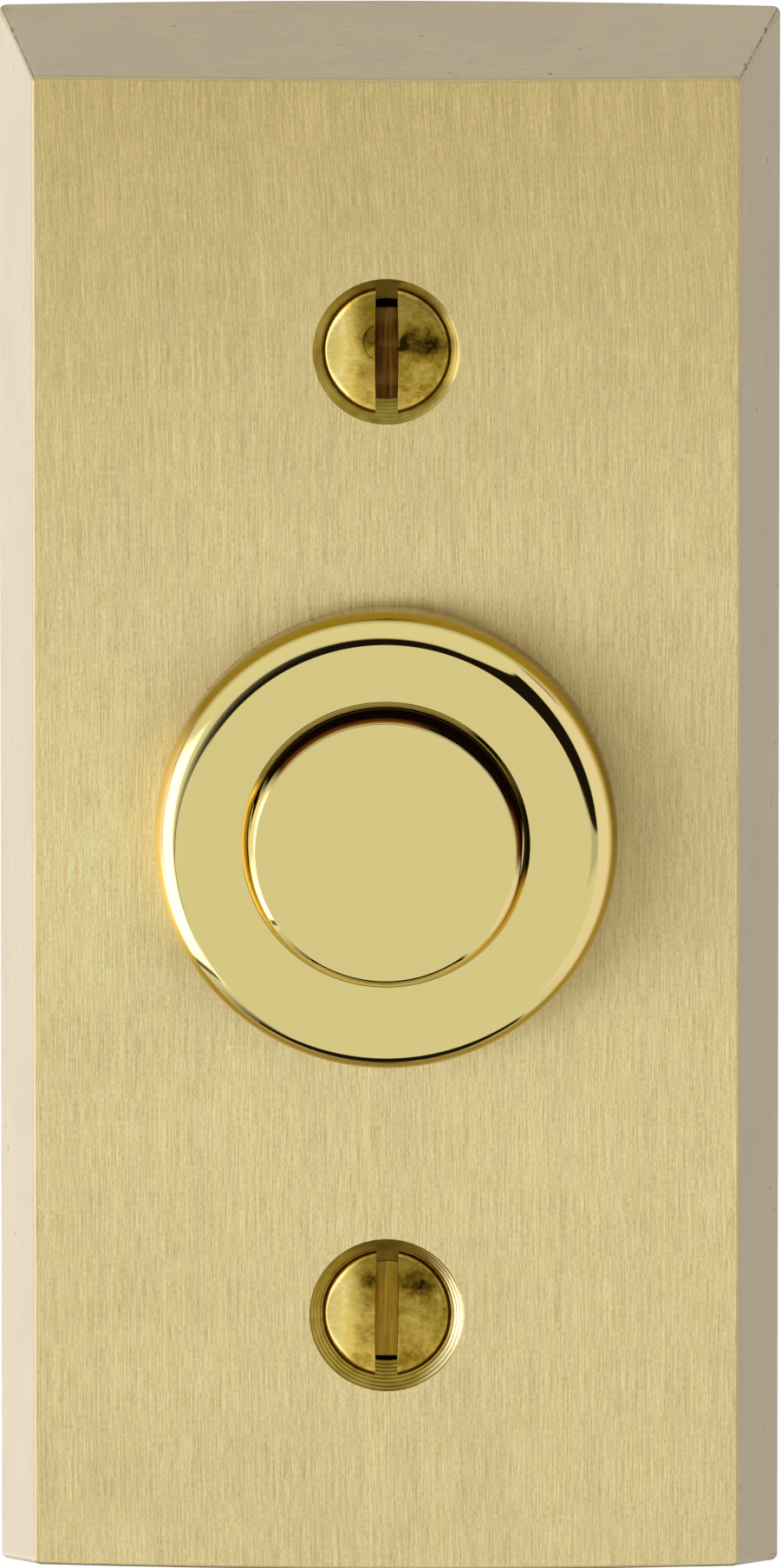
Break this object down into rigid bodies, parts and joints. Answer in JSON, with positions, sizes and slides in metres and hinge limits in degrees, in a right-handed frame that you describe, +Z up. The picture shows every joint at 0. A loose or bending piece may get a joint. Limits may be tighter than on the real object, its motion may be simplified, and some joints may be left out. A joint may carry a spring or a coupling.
{
  "type": "doorbell push button",
  "caption": "Rectangular cast brass bell push: drafted plate with countersunk screws above and below a polished ring that holds a sprung flat button.",
  "frame": {"origin": "on the button's axis in the plane of the plate's back face, midway between the two wood screws", "axes": "+X to the right seen from the front, +Y into the wall, +Z up the wall"},
  "size_m": [0.0412, 0.0379, 0.0841],
  "materials": {
    "cast_brass": "brushed",
    "polished_brass": "polished",
    "screw_brass": "tarnished",
    "contact_brass": "satin",
    "insulator": "moulded",
    "spring_steel": "drawn wire"
  },
  "bodies": {
    "case": {"case": "cast_brass", "bezel_ring": "polished_brass", "bezel_washer": "contact_brass", "bezel_nut": "contact_brass", "return_spring": "spring_steel", "contact_base": "insulator", "contact_strip_left": "contact_brass", "contact_strip_right": "contact_brass", "contact_rivet_left": "contact_brass", "contact_rivet_right": "contact_brass", "terminal_screw_left": "contact_brass", "terminal_screw_right": "contact_brass", "terminal_washer_left": "contact_brass", "terminal_washer_right": "contact_brass", "base_screw_upper": "contact_brass", "base_screw_lower": "contact_brass", "wood_screw_upper": "screw_brass", "wood_screw_lower": "screw_brass"},
    "button": {"button": "polished_brass", "contact_carrier": "insulator", "carrier_screw": "contact_brass", "bridge_disc": "contact_brass"}
  },
  "joints": [
    {"name": "button_press", "type": "slide", "parent": "case", "child": "button", "axis": [0, 1, 0], "range_m": [0, 0.0015], "stiffness_N_per_m": 400, "springref_m": -0.003, "deforming": ["return_spring"]}
  ]
}
